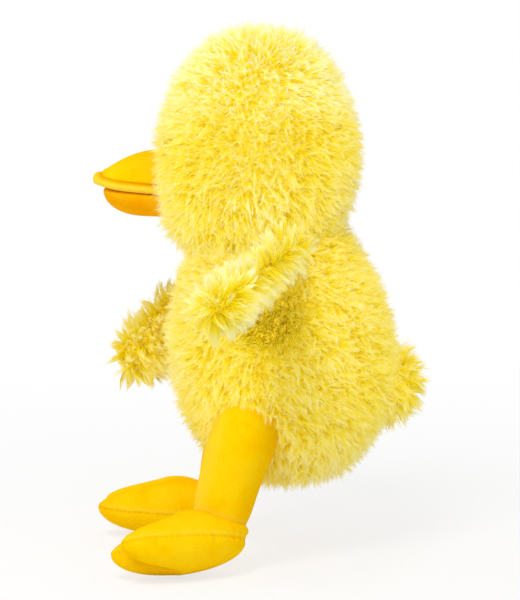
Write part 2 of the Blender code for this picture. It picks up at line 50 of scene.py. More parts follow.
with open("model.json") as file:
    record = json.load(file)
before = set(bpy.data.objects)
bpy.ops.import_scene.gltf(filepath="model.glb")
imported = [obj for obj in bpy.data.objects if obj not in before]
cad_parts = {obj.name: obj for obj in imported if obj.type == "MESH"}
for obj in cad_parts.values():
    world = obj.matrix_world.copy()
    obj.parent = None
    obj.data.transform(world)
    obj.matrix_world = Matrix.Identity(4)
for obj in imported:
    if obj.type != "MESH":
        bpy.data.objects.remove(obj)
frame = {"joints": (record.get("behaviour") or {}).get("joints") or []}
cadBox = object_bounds()
print("frame loaded")

mm = 0.001
joints = {joint["name"]: Vector(joint["pos_m"]) for joint in frame["joints"]}
front = Vector((0, -1, 0))
up = Vector((0, 0, 1))
side = Vector((1, 0, 0))
signs = {"left": 1, "right": -1}      # the two sides, and which way each lies along X


def addObject(name, data):
    thing = bpy.data.objects.new(name, data)
    bpy.context.scene.collection.objects.link(thing)
    return thing


# Camera: the photograph's view, from the duck's left and a little above
photo = {
    "height": 600,                # pixels
    "middle": (260, 300),         # the frame's middle, in pixels
    "seat": (283, 472),           # where the duck's seat lies in it, in pixels
    "pixel": 0.725 * mm,          # one pixel at the duck
    "azimuth": math.radians(84),
    "elevation": math.radians(8),
    "distance": 2.2,
    "sensor": 36,
}


def makeCamera():
    azimuth, elevation = photo["azimuth"], photo["elevation"]
    away = Vector((
        math.sin(azimuth) * math.cos(elevation), -math.cos(azimuth) * math.cos(elevation), math.sin(elevation)
    ))
    right = up.cross(away).normalized()
    upward = away.cross(right)
    across = (photo["middle"][0] - photo["seat"][0]) * photo["pixel"]
    high = (photo["seat"][1] - photo["middle"][1]) * photo["pixel"]
    target = right * across + upward * high
    data = bpy.data.cameras.new("photoCamera")
    data.sensor_fit = "VERTICAL"
    data.sensor_height = photo["sensor"]
    data.lens = photo["sensor"] / (photo["height"] * photo["pixel"]) * photo["distance"]
    data.clip_end = studio["floorSize"]
    camera = addObject("photoCamera", data)
    turn = Matrix((right, upward, away)).transposed().to_4x4()
    camera.matrix_world = Matrix.Translation(target + away * photo["distance"]) @ turn
    bpy.context.scene.camera = camera
    return target, right, upward, away


# Studio: soft lamps and a pale floor under the feet
studio = {
    "floorSize": 60,
    "floorGap": 0.6 * mm,         # between the feet and the floor
    "floorColour": (0.93, 0.93, 0.93, 1),
    "middleWhite": 0.72,          # how white the floor is at its middle
    "whiteBetween": (0.15, 0.9),  # from where to where it turns fully white
    "worldLight": 0.55,
    # right, up and towards the camera from the duck, size, power
    "lamps": {
        "key": (-0.4, 1.1, 1.15, 0.6, 12.8),
        "fill": (0.7, 0.1, 1.3, 1.3, 3.5),
        "back": (0.4, 0.9, -1.1, 0.9, 2.4),
        "left": (-1.1, 0.3, -0.3, 1.0, 2.4),
    },
}


def seenDirectly(nodes, links):
    # 1 for the camera's own view and for mirrored and refracted ones
    path = nodes.new("ShaderNodeLightPath")
    seen = path.outputs["Is Camera Ray"]
    for kind in ("Is Glossy Ray", "Is Transmission Ray"):
        either = nodes.new("ShaderNodeMath")
        either.operation = "MAXIMUM"
        links.new(seen, either.inputs[0])
        links.new(path.outputs[kind], either.inputs[1])
        seen = either.outputs[0]
    return seen


def makeWorld():
    world = bpy.data.worlds.new("studio")
    world.use_nodes = True
    nodes, links = world.node_tree.nodes, world.node_tree.links
    background = nodes["Background"]
    background.inputs["Color"].default_value = (1, 1, 1, 1)
    strength = nodes.new("ShaderNodeMix")
    strength.data_type = "FLOAT"
    strength.inputs["A"].default_value = studio["worldLight"]
    strength.inputs["B"].default_value = 1
    links.new(seenDirectly(nodes, links), strength.inputs["Factor"])
    links.new(strength.outputs["Result"], background.inputs["Strength"])
    bpy.context.scene.world = world


def makeLamps(target, right, upward, away):
    for name, (across, high, near, size, power) in studio["lamps"].items():
        data = bpy.data.lights.new(f"{name}Lamp", "AREA")
        data.size = size
        data.energy = power
        lamp = addObject(f"{name}Lamp", data)
        place = target + right * across + upward * high + away * near
        turn = (place - target).to_track_quat("Z", "Y").to_matrix().to_4x4()
        lamp.matrix_world = Matrix.Translation(place) @ turn


def makeFloor():
    shape = bmesh.new()
    place = Matrix.Translation((0, 0, cadBox[0][2] - studio["floorGap"]))
    bmesh.ops.create_grid(shape, x_segments=1, y_segments=1, size=studio["floorSize"] / 2, matrix=place)
    mesh = bpy.data.meshes.new("floor")
    shape.to_mesh(mesh)
    shape.free()
    floor = addObject("floor", mesh)
    material, nodes, links, paper = newMaterial("floorPaper")
    setInputs(paper, {"Base Color": studio["floorColour"], "Roughness": 1, "Specular IOR Level": 0})
    white = nodes.new("ShaderNodeEmission")
    spot = nodes.new("ShaderNodeTexCoord")
    reach = nodes.new("ShaderNodeVectorMath")
    reach.operation = "LENGTH"
    links.new(spot.outputs["Object"], reach.inputs[0])
    whiteness = ranged(
        nodes, links, reach.outputs["Value"], studio["whiteBetween"], (studio["middleWhite"], 1), "SMOOTHSTEP"
    )
    share = nodes.new("ShaderNodeMath")
    share.operation = "MULTIPLY"
    blendIn = nodes.new("ShaderNodeMixShader")
    links.new(seenDirectly(nodes, links), share.inputs[0])
    links.new(whiteness, share.inputs[1])
    links.new(share.outputs[0], blendIn.inputs["Fac"])
    links.new(paper.outputs[0], blendIn.inputs[1])
    links.new(white.outputs[0], blendIn.inputs[2])
    links.new(blendIn.outputs[0], nodes["Material Output"].inputs["Surface"])
    mesh.materials.append(material)


# Materials: what they share
def newMaterial(name):
    material = bpy.data.materials.new(name)
    material.use_nodes = True
    nodes, links = material.node_tree.nodes, material.node_tree.links
    return material, nodes, links, nodes["Principled BSDF"]


def setInputs(node, values):
    for name, value in values.items():
        node.inputs[name].default_value = value


def feed(links, value, socket):
    # another node's output is linked, and a plain value is set
    if isinstance(value, bpy.types.NodeSocket):
        links.new(value, socket)
    else:
        socket.default_value = value


def ranged(nodes, links, value, given, wanted=(0, 1), easing="LINEAR"):
    # the value moved from the given range to the wanted one
    node = nodes.new("ShaderNodeMapRange")
    node.interpolation_type = easing
    setInputs(node, dict(zip(("From Min", "From Max", "To Min", "To Max"), (*given, *wanted))))
    links.new(value, node.inputs["Value"])
    return node.outputs["Result"]


def mixed(nodes, links, factor, below, above, way="MIX"):
    node = nodes.new("ShaderNodeMix")
    node.data_type = "RGBA"
    node.blend_type = way
    for name, value in (("Factor", factor), ("A", below), ("B", above)):
        feed(links, value, node.inputs[name])
    return node.outputs["Result"]


def colourRamp(nodes, links, value, stops):
    node = nodes.new("ShaderNodeValToRGB")
    points = node.color_ramp.elements
    while len(points) < len(stops):
        points.new(0.5)
    for point, (place, colour) in zip(points, stops):
        point.position = place
        point.color = (*colour, 1)
    links.new(value, node.inputs["Fac"])
    return node.outputs["Color"]


def noise(nodes, links, scale, detail=2, roughness=0.5):
    place = nodes.new("ShaderNodeTexCoord")
    node = nodes.new("ShaderNodeTexNoise")
    setInputs(node, {"Detail": detail, "Roughness": roughness})
    links.new(place.outputs["Object"], node.inputs["Vector"])
    feed(links, scale, node.inputs["Scale"])
    return node.outputs["Fac"]


# Fur and its knitted backing
furLook = {
    # where along a strand, from root to tip, and its colour there: a deep strand and a pale one, both painted
    # darker towards the root as shade deep in the pile
    "deep": (
        (0.0, (0.62, 0.38, 0.0)), (0.4, (0.96, 0.66, 0.0)), (0.7, (1.0, 0.77, 0.0)), (1.0, (1.0, 0.84, 0.04)),
    ),
    "pale": (
        (0.0, (0.72, 0.48, 0.0)), (0.35, (1.0, 0.78, 0.0)), (0.6, (1.0, 0.88, 0.09)), (0.88, (1.0, 0.965, 0.62)),
    ),
    # painted shade: the tone below which a strand stands in a hollow's shade, and the colour it is darkened by
    # there
    "hollowShadeTone": 0.12,
    "hollow": (0.34, 0.27, 0.12),
    "roughness": 0.45,
    "specular": 0.04,
}
clothLook = {"dark": (0.98, 0.66, 0.01), "pale": (1.0, 0.76, 0.03), "roughness": 0.95, "knit": 600}


def furMaterial():
    # The strand's own map holds its tone across and the way from root to tip upwards.
    material, nodes, links, shader = newMaterial("longFur")
    strandMap = nodes.new("ShaderNodeUVMap")
    strandMap.uv_map = "OFBake"
    parts = nodes.new("ShaderNodeSeparateXYZ")
    links.new(strandMap.outputs["UV"], parts.inputs[0])
    tone, height = parts.outputs["X"], parts.outputs["Y"]
    # painted shade: each strand darkens towards its root, deep in the pile
    deep = colourRamp(nodes, links, height, furLook["deep"])
    pale = colourRamp(nodes, links, height, furLook["pale"])
    fibre = mixed(nodes, links, tone, deep, pale)
    # painted shade: strands in hollows are darkened
    hollow = colourRamp(nodes, links, tone, ((0, furLook["hollow"]), (furLook["hollowShadeTone"], (1, 1, 1))))
    links.new(mixed(nodes, links, 1, fibre, hollow, "MULTIPLY"), shader.inputs["Base Color"])
    setInputs(shader, {"Roughness": furLook["roughness"], "Specular IOR Level": furLook["specular"]})
    return material


def backingMaterial():
    # a little uneven between the strands
    material, nodes, links, shader = newMaterial("furBacking")
    knit = noise(nodes, links, clothLook["knit"])
    tone = colourRamp(nodes, links, knit, ((0.3, clothLook["dark"]), (0.7, clothLook["pale"])))
    links.new(tone, shader.inputs["Base Color"])
    setInputs(shader, {"Roughness": clothLook["roughness"]})
    return material


# Velour
velourLook = {
    # each velour's own colour, its worn and darker patches that differ at random, and the colours of its painted
    # highlight (pale) and painted shade (fold)
    "yellow": {"colour": (1.0, 0.61, 0.0), "worn": (1.0, 0.66, 0.006), "shade": (1.0, 0.53, 0.0),
               "pale": (1.0, 0.70, 0.05), "fold": (0.80, 0.36, 0.0)},
    "orange": {"colour": (1.0, 0.45, 0.001), "worn": (1.0, 0.50, 0.01), "shade": (0.97, 0.38, 0.0),
               "pale": (0.80, 0.52, 0.03), "fold": (0.66, 0.22, 0.0)},
    "patch": 38,                  # scale of the brushed patches, per metre
    "grain": 1500,                # scale of the short pile, per metre
    # where the patches' noise turns the pile worn, and where it turns it to its shade
    "wornBetween": (0.42, 0.68),
    "shadeBetween": (0.48, 0.30),
    "speckle": ((0.3, 0.7), (0.9, 1.04)),         # the grain's noise, and the brightness it gives
    "bump": 0.35,
    "bumpDepth": 0.3 * mm,
    "roughness": 0.8,
    "specular": 0.0,
    "sheen": 0.2,
    "sheenRoughness": 0.3,
    "sheenTint": (1.0, 0.66, 0.03, 1),
}


def shortPileGroup():
    # Brushed patches and a fine grain, shared by every velour piece. Each piece's own attributes say where a
    # highlight and where shade are painted on it.
    group = bpy.data.node_groups.new("shortPile", "ShaderNodeTree")
    for direction, kind, names in (
        ("INPUT", "NodeSocketColor", ("Colour", "Worn", "Shade", "Pale", "Fold")),
        ("INPUT", "NodeSocketFloat", ("Patch Scale", "Grain Scale")),
        ("OUTPUT", "NodeSocketColor", ("Colour",)),
        ("OUTPUT", "NodeSocketFloat", ("Height",)),
    ):
        for name in names:
            group.interface.new_socket(name, in_out=direction, socket_type=kind)
    nodes, links = group.nodes, group.links
    given = nodes.new("NodeGroupInput").outputs
    result = nodes.new("NodeGroupOutput").inputs
    patch = noise(nodes, links, given["Patch Scale"], 4, 0.6)
    grain = noise(nodes, links, given["Grain Scale"], 3)

    worn = ranged(nodes, links, patch, velourLook["wornBetween"])
    shaded = ranged(nodes, links, patch, velourLook["shadeBetween"])
    colour = mixed(nodes, links, worn, given["Colour"], given["Worn"])
    colour = mixed(nodes, links, shaded, colour, given["Shade"])
    # painted highlight and painted shade, where each piece's attributes say
    for attribute, tint in (("paintedHighlight", "Pale"), ("foldShade", "Fold")):
        painted = nodes.new("ShaderNodeAttribute")
        painted.attribute_name = attribute
        colour = mixed(nodes, links, painted.outputs["Fac"], colour, given[tint])
    speckled = nodes.new("ShaderNodeVectorMath")
    speckled.operation = "SCALE"
    links.new(colour, speckled.inputs[0])
    links.new(ranged(nodes, links, grain, *velourLook["speckle"]), speckled.inputs["Scale"])
    links.new(speckled.outputs[0], result["Colour"])
    links.new(grain, result["Height"])
    return group


def velourMaterial(name, colours, group):
    material, nodes, links, shader = newMaterial(name)
    pile = nodes.new("ShaderNodeGroup")
    pile.node_tree = group
    setInputs(pile, {tint.capitalize(): (*colour, 1) for tint, colour in colours.items()})
    setInputs(pile, {"Patch Scale": velourLook["patch"], "Grain Scale": velourLook["grain"]})
    bump = nodes.new("ShaderNodeBump")
    setInputs(bump, {"Strength": velourLook["bump"], "Distance": velourLook["bumpDepth"]})
    links.new(pile.outputs["Colour"], shader.inputs["Base Color"])
    links.new(pile.outputs["Height"], bump.inputs["Height"])
    links.new(bump.outputs[0], shader.inputs["Normal"])
    setInputs(shader, {
        "Roughness": velourLook["roughness"],
        "Specular IOR Level": velourLook["specular"],
        "Sheen Weight": velourLook["sheen"],
        "Sheen Roughness": velourLook["sheenRoughness"],
        "Sheen Tint": velourLook["sheenTint"],
    })
    return material


# Forms: what they share
def turnAlong(direction, across):
    # local Z along direction, local X as near across as it can be
    along = direction.normalized()
    sideways = (across - along * across.dot(along)).normalized()
    return Matrix((sideways, along.cross(sideways), along)).transposed().to_4x4()


def meshFrom(name, shape):
    mesh = bpy.data.meshes.new(name)
    bmesh.ops.recalc_face_normals(shape, faces=shape.faces)
    shape.to_mesh(mesh)
    shape.free()
    return mesh


def smoothMesh(name, shape, levels, place):
    # the cage smoothed by Subdivision Surface, as a mesh in its place
    mesh = meshFrom(name, shape)
    cage = addObject(f"{name}Cage", mesh)
    rounding = cage.modifiers.new("rounding", "SUBSURF")
    rounding.levels = levels
    rounding.render_levels = levels
    bpy.context.view_layer.update()
    smooth = bpy.data.meshes.new_from_object(cage.evaluated_get(bpy.context.evaluated_depsgraph_get()))
    bpy.data.objects.remove(cage)
    bpy.data.meshes.remove(mesh)
    smooth.name = name
    smooth.transform(place)
    smooth.shade_smooth()
    return smooth


def steadyBall(segments, rows):
    # The operator lists its edges and faces in another order each time. Fur grows in the faces' order, so
    # they are sorted, and it grows the same each time.
    shape = bmesh.new()
    bmesh.ops.create_uvsphere(shape, u_segments=segments, v_segments=rows, radius=1)
    shape.verts.index_update()
    count = len(shape.verts)

    def order(item):
        numbers = sorted(vertex.index for vertex in item.verts)
        return (numbers[0] * count + numbers[1]) * count + numbers[-1]

    shape.edges.sort(key=order)
    shape.faces.sort(key=order)
    return shape


def ringForm(name, rings, ends, segments, levels, place):
    # a ball moved onto rings of (place, half width, half depth in front, half depth behind)
    count = len(rings)
    shape = steadyBall(segments, count + 1)
    swell = 1 / math.cos(math.pi / segments)
    for vertex in shape.verts:
        index = round((count + 1) * math.acos(max(-1, min(1, -vertex.co.z))) / math.pi) - 1
        if index < 0 or index >= count:
            vertex.co = (0, 0, ends[0] if index < 0 else ends[1])
            continue
        height, halfWidth, halfFront, halfBack = rings[index]
        flat = Vector((vertex.co.x, vertex.co.y)).normalized()
        depth = halfBack if flat.y > 0 else halfFront
        vertex.co = (flat.x * halfWidth * swell, flat.y * depth * swell, height)
    return smoothMesh(name, shape, levels, place)


def newPiece(name, mesh, body, slot, material, *nodes):
    piece = addObject(name, mesh)
    mesh.materials.clear()
    mesh.materials.append(material)
    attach(piece, body)
    if nodes:
        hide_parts(*nodes)
    return piece


def paint(mesh, name, shares):
    layer = mesh.attributes.new(name, "FLOAT", "POINT")
    layer.data.foreach_set("value", np.clip(shares, 0, 1).astype(np.float32))


def searchTree(mesh):
    mesh.calc_loop_triangles()
    return BVHTree.FromPolygons(
        [vertex.co for vertex in mesh.vertices], [tuple(face.vertices) for face in mesh.loop_triangles]
    )


def hump(distance, width):
    # 1 at no distance, fading smoothly over the width
    return math.exp(-((distance / width) ** 2))


# Fur: strands on a backing that lies under the solids' surface, which is halfway up the pile
furSizes = {
    "backingDepth": 5.5 * mm,
    "rootDepth": 0.8 * mm,        # how far a strand starts inside the backing
    "length": 14.5 * mm,
    "rootRadius": 0.32 * mm,
    "steps": 2,                   # faces along a strand
    "taper": 0.3,                 # how much thinner it gets towards its tip
    "widths": (0.75, 1.25),       # how widths differ, as shares
    "spare": 1.5,                 # places tried for each strand wanted
    "lockArea": 4.6,              # square millimetres of backing to a lock
    "comb": (0, 0, -0.3),         # which way the pile lies
    "flows": ((30 * mm, 0.5), (8 * mm, 0.6)),     # size and strength of the swirls in it
    "unruly": 0.85,               # how much each lock leans its own way
    "lean": (0.1, 0.95),          # how far a lock leans, as the slope against the surface
    "lockLengths": (0.72, 1.2),   # how lengths differ, as shares
    "strandLengths": (0.72, 1.05),
    "strandLean": 0.16,
    "pull": (0.6, 0.97),          # how far a strand's tip is drawn to its lock's tip
    "droop": 1.4 * mm,
    "droops": (0.3, 1.3),         # how it differs, as shares
    "curl": 0.8,
    "bend": (0.75, 0.5, 0.12),    # a strand's middle goes outward, onward and astray by these
    "bendAt": 0.55,
    "evenness": 0.35,             # how much a strand is shaded like the pile as a whole
    "paler": -0.12,               # added to a strand's tone
    "crown": 0,                   # painted light: how much paler it is made towards the top
    "shadow": False,              # whether it holds light back
}
headFurSizes = {**furSizes, "paler": -0.05, "crown": 1.0}
# the shorter layer under it, the only one that holds light back; its tone is also lowered, as painted shade deep
# in the pile
underFurSizes = {
    **furSizes, "length": 8 * mm, "droop": 0.5 * mm, "pull": (0, 0.4), "paler": -0.25, "shadow": True,
}
# the wings' and the tail's longer, thicker locks
wingFurSizes = {
    **furSizes, "length": 17 * mm, "rootRadius": 0.34 * mm, "lockArea": 8, "curl": 0.6, "strandLean": 0.2,
    "pull": (0.6, 0.98), "steps": 3, "paler": -0.08, "droop": 0.8 * mm, "unruly": 0.6,
}
furTones = {
    "middling": 1.3,              # how often a lock's tone is a middling one, 1 for no more than any other
    "locks": 0.7,                 # how much the locks' tones differ
    "longLight": 0.6,                  # painted light and shade: how much paler a long lock is, and a short one deeper, as on the pile's top and within it
    "lock": 0.75,                 # the lock's share in a strand's tone
    "strand": 0.3,                # the strand's own
    "patches": (25 * mm, 0.15),   # size and strength of paler and deeper patches
    "crownLightFrom": 0.55,            # where the painted light at the top begins, as a share of the height
    "crownLightOver": 0.35,            # over how much of it the tone rises
    "crownLightRise": 1.5,
    "inShade": (0.6, 1.2),           # how the painted shade in a hollow differs, as shares
    "inShadeRise": 0.7,
    "ends": (0.01, 0.98),
}
furCounts = {
    # strands, pieces that they are shared over, seed
    "headUnder": (8000, 1, 21),
    "head": (54000, 3, 11),
    "bodyUnder": (11000, 1, 22),
    "body": (74000, 4, 12),
    "tail": (5500, 1, 13),
    "wingUnder": (2500, 1, 24),
    "wing": (10500, 1, 14),
    "quick": 0.3,
}
furPlaces = {
    # how far inside a neighbour a root may still start
    "inBill": 1.5 * mm, "inLeg": 2.5 * mm, "headInBody": 6 * mm, "bodyInHead": 8 * mm, "limbInBody": 3 * mm,
    "clearing": 5 * mm,           # free of roots round an eye
    # painted shade where a neighbour meets the fur: how far it reaches, and how strong it is
    "headShade": (9 * mm, 0.6), "bodyShade": (11 * mm, 0.75), "limbShade": (6 * mm, 0.2),
    "armpitShade": (31 * mm, 1),
    "armpit": (34 * mm, -23 * mm, -42 * mm),      # the middle of the painted shadow under a wing: outward, back and up from the shoulder
}


def pointsOf(mesh):
    # where each point of the mesh is, and which way it faces
    places = np.empty(len(mesh.vertices) * 3)
    normals = np.empty(len(mesh.vertices) * 3)
    mesh.vertices.foreach_get("co", places)
    mesh.vertex_normals.foreach_get("vector", normals)
    return places.reshape(-1, 3), normals.reshape(-1, 3)


def shrunk(mesh, depth):
    # the mesh moved in along its normals
    places, normals = pointsOf(mesh)
    mesh.vertices.foreach_set("co", (places - normals * depth).ravel())
    mesh.update()
    return mesh


def strandTemplate(steps):
    # a three-sided strand from z = 0 to a point at z = 1
    shape = bmesh.new()
    bmesh.ops.create_circle(shape, segments=3, radius=1)
    edges = list(shape.edges)
    for step in range(1, steps + 1):
        grown = bmesh.ops.extrude_edge_only(shape, edges=edges)["geom"]
        points = [item for item in grown if isinstance(item, bmesh.types.BMVert)]
        edges = [item for item in grown if isinstance(item, bmesh.types.BMEdge)]
        bmesh.ops.translate(shape, verts=points, vec=(0, 0, 1 / steps))
        if step == steps:
            bmesh.ops.pointmerge(shape, verts=points, merge_co=(0, 0, 1))
    bmesh.ops.recalc_face_normals(shape, faces=shape.faces)
    shape.verts.index_update()
    places = np.array([vertex.co[:] for vertex in shape.verts])
    faces = [[vertex.index for vertex in face.verts] for face in shape.faces]
    shape.free()
    return places, faces


def unit(vectors):
    return vectors / np.maximum(np.linalg.norm(vectors, axis=1, keepdims=True), 1e-9)


def swirl(places, size, seed):
    # a smooth field of directions that changes over about the given size
    chance = np.random.default_rng(seed)
    field = np.zeros_like(places)
    for _ in range(4):
        waves = chance.normal(size=(3, 3)) / size
        field += np.sin(places @ waves + chance.uniform(0, 2 * np.pi, 3))
    return field / 2


def scatterRoots(mesh, count, chance):
    # random places all over the mesh, which way each faces, and the mesh's area
    mesh.calc_loop_triangles()
    places, normals = pointsOf(mesh)
    faces = np.empty(len(mesh.loop_triangles) * 3, np.int32)
    mesh.loop_triangles.foreach_get("vertices", faces)
    faces = faces.reshape(-1, 3)
    corners = places[faces]
    areas = np.linalg.norm(np.cross(corners[:, 1] - corners[:, 0], corners[:, 2] - corners[:, 0]), axis=1) / 2
    picked = chance.choice(len(faces), count, p=areas / areas.sum())
    first, second = np.sqrt(chance.random(count)), chance.random(count)
    shares = np.stack([1 - first, first * (1 - second), first * second], 1)[:, :, None]
    return (corners[picked] * shares).sum(1), unit((normals[faces[picked]] * shares).sum(1)), areas.sum()


def outside(places, keepOuts):
    # which places lie outside every (tree, depth): depth is how far in a root may still start
    free = np.ones(len(places), bool)
    for tree, depth in keepOuts:
        for index in np.nonzero(free)[0]:
            spot = Vector(places[index])
            near, normal, _, distance = tree.find_nearest(spot)
            if near is not None and (spot - near).dot(normal) < 0 and distance > depth:
                free[index] = False
    return free


def paintedShadeShare(places, shadeSources):
    # how deep each place lies in a hollow's painted shade, where another cover or a spot is near: 0 to 1
    deep = np.zeros(len(places))
    for other, reach, strength in shadeSources:
        if isinstance(other, Vector):
            distances = np.linalg.norm(places - np.array(other), axis=1)
        else:
            found = [other.find_nearest(Vector(place), 2 * reach)[3] for place in places]
            distances = np.array([2 * reach if distance is None else distance for distance in found])
        deep = np.maximum(deep, strength * np.exp(-((distances / reach) ** 2)))
    return deep


def makeLocks(roots, normals, area, seed, chance, sizes):
    # the first roots start a lock each, and every strand belongs to the nearest lock: how many locks there
    # are, and each strand's lock's direction, length, curl, tone and tip
    count = min(len(roots), round(area / sizes["lockArea"]))
    places, outward = roots[:count], normals[:count]
    search = kdtree.KDTree(count)
    for index, place in enumerate(places):
        search.insert(place, index)
    search.balance()
    lock = np.array([search.find(place)[1] for place in roots])

    flow = np.zeros((count, 3))
    for turn, (size, strength) in enumerate(sizes["flows"], 1):
        flow += swirl(places, size, seed + turn) * strength
    flow += chance.normal(size=flow.shape) * sizes["unruly"] + np.array(sizes["comb"])
    flow -= outward * (flow * outward).sum(1, keepdims=True)
    lean = chance.uniform(*sizes["lean"], (count, 1))
    direction = unit(outward + unit(flow) * lean)
    length = sizes["length"] * chance.uniform(*sizes["lockLengths"], (count, 1))
    curl = chance.normal(size=(count, 3)) * sizes["curl"]
    tone = chance.beta(furTones["middling"], furTones["middling"], count) * furTones["locks"]
    # painted light and shade: long locks are made paler, short ones deeper
    tone += (length[:, 0] / sizes["length"] - sizes["lockLengths"][0]) * furTones["longLight"]
    tips = places + direction * length
    return count, direction[lock], length[lock], curl[lock], tone[lock], tips[lock]


def layStrands(template, roots, normals, locks, chance, sizes):
    # the template laid along each strand's curve, and the way across the strand at each of its points
    lockDirection, lockLength, lockCurl, lockTips = locks
    count = len(roots)
    direction = unit(lockDirection + chance.normal(size=(count, 3)) * sizes["strandLean"])
    length = lockLength * chance.uniform(*sizes["strandLengths"], (count, 1))
    pull = chance.uniform(*sizes["pull"], (count, 1))
    start = roots - normals * sizes["rootDepth"]
    tip = (roots + direction * length) * (1 - pull) + lockTips * pull
    tip[:, 2] -= sizes["droop"] * chance.uniform(*sizes["droops"], count)
    outward, onward, astray = sizes["bend"]
    bend = unit(normals * outward + direction * onward + lockCurl + chance.normal(size=(count, 3)) * astray)
    middle = start + bend * length * sizes["bendAt"]

    along = template[:, 2][None, :, None]
    line = start[:, None] * (1 - along) ** 2 + middle[:, None] * (2 * along * (1 - along))
    line = line + tip[:, None] * along**2
    forward = unit(tip - start)
    sideways = unit(np.cross(forward, chance.normal(size=(count, 3))))
    lift = np.cross(forward, sideways)
    width = chance.uniform(*sizes["widths"], (count, 1, 1))
    radius = sizes["rootRadius"] * (1 - sizes["taper"] * along) * width
    across = sideways[:, None] * template[:, 0][None, :, None] + lift[:, None] * template[:, 1][None, :, None]
    return line + radius * across, across


def strandTones(roots, lockTone, shadeSources, seed, chance, sizes):
    # from 0, deep, to 1, pale
    tones = furTones
    count = len(roots)
    size, strength = tones["patches"]
    tone = lockTone * tones["lock"] + chance.random(count) * tones["strand"]
    tone = tone + sizes["paler"] + strength * swirl(roots, size, seed + 3)[:, 0]
    height = (roots[:, 2] - roots[:, 2].min()) / np.ptp(roots[:, 2])
    # painted light: paler towards the top of the piece
    crown = np.clip((height - tones["crownLightFrom"]) / tones["crownLightOver"], 0, 1) ** tones["crownLightRise"]
    tone = tone + sizes["crown"] * crown
    # painted shade in hollows: by the neck, where limbs meet the body and under the wings
    inShade = np.clip(paintedShadeShare(roots, shadeSources) * chance.uniform(*tones["inShade"], count), 0, 1)
    lowest, highest = furLook["hollowShadeTone"] + tones["ends"][0], tones["ends"][1]
    tone = np.clip(tone, lowest, highest) * (1 - inShade) ** tones["inShadeRise"]
    tone = np.where(inShade > 0.5, np.minimum(tone, lowest * 2 * (1 - inShade)), tone)
    return np.clip(tone, *tones["ends"])


def cornerShares(along, faces):
    # which of a strand's points each corner of its faces is shaded like: a tip like the face that ends there
    shares = np.zeros((sum(len(face) for face in faces), len(along)))
    first = 0
    for face in faces:
        low = [corner for corner in face if along[corner] < 0.999]
        for index, corner in enumerate(face):
            shares[first + index, low if along[corner] > 0.999 else corner] = 1
        first += len(face)
    return shares


def strandMesh(name, template, faces, line, shading, tone):
    # one mesh of all its strands, with the map that furMaterial reads and its own shading
    number, along = len(line), template[:, 2]
    loops = np.concatenate(faces)
    places = line.reshape(-1, 3)
    corners = (np.arange(number)[:, None] * len(template) + loops[None, :]).ravel()
    mesh = bpy.data.meshes.new(name)
    mesh.vertices.add(len(places))
    mesh.vertices.foreach_set("co", places.ravel())
    mesh.loops.add(len(corners))
    mesh.loops.foreach_set("vertex_index", corners)
    mesh.polygons.add(number * len(faces))
    faceSizes = np.tile([len(face) for face in faces], number)
    mesh.polygons.foreach_set("loop_start", np.concatenate([[0], np.cumsum(faceSizes)[:-1]]))
    # a strand's corners differ a little across, so that its faces have an area on the map
    across = np.arctan2(template[:, 1], template[:, 0]) / np.pi * 0.008
    layer = mesh.uv_layers.new(name="OFBake")
    spots = np.stack([(tone[:, None] + across)[:, loops].ravel(), np.tile(0.02 + 0.96 * along[loops], number)], 1)
    layer.uv.foreach_set("vector", spots.ravel())
    mesh.update(calc_edges=True)
    mesh.validate()
    mesh.shade_smooth()
    cornerNormals = np.einsum("lv,svk->slk", cornerShares(along, faces), shading).reshape(-1, 3)
    mesh.normals_split_custom_set(unit(cornerNormals).tolist())
    return mesh


def growFur(name, counts, backing, body, material, keepOuts, shadeSources, sizes, clearings=()):
    strands, pieces, seed = counts
    strands = int(strands * (1))
    chance = np.random.default_rng(seed)
    roots, normals, area = scatterRoots(backing, int(strands * sizes["spare"]), chance)
    free = outside(roots, keepOuts)
    for spot in clearings:
        free &= np.linalg.norm(roots - np.array(spot), axis=1) > furPlaces["clearing"]
    kept = min(strands, round(strands * free.mean()))
    roots, normals = roots[free][:kept], normals[free][:kept]
    squareMillimetres = area / (mm * mm) * free.mean()
    lockCount, direction, length, curl, lockTone, tips = makeLocks(
        roots, normals, squareMillimetres, seed, chance, sizes
    )
    template, faces = strandTemplate(sizes["steps"])
    line, across = layStrands(template, roots, normals, (direction, length, curl, tips), chance, sizes)
    shading = (normals[:, None] * sizes["evenness"] + across).astype(np.float32)
    tone = strandTones(roots, lockTone, shadeSources, seed, chance, sizes)

    # the pieces share the strands out by the way that each lies round the middle
    middle = roots.mean(0)
    order = np.argsort(np.arctan2(roots[:, 1] - middle[1], roots[:, 0] - middle[0]), kind="stable")
    for index, chosen in enumerate(np.array_split(order, pieces)):
        pieceName = f"{name}Fur{index + 1}"
        mesh = strandMesh(pieceName, template, faces, line[chosen], shading[chosen], tone[chosen])
        piece = newPiece(pieceName, mesh, body, "fur_cloth", material)
        # thin pale fibre lets light on to the strands behind it
        piece.visible_shadow = sizes["shadow"]
        piece.visible_diffuse = sizes["shadow"]
    print(f"{name} fur: {len(roots)} strands in {lockCount} locks")


# Body, head, tail and wings: the rings are shares of the sizes
bodySizes = {
    "width": 150 * mm, "depth": 157 * mm, "height": 201 * mm, "seatFlat": 0.5 * mm,
    # place along the height, radius, and lean to the back
    "rings": (
        (0, 0.34, 0.02), (0.03, 0.51, 0.02), (0.10, 0.70, 0.025), (0.23, 0.905, 0.025), (0.39, 1.0, 0.005),
        (0.55, 0.985, -0.025), (0.70, 0.872, -0.052), (0.84, 0.705, -0.095), (0.95, 0.50, -0.12),
    ),
}


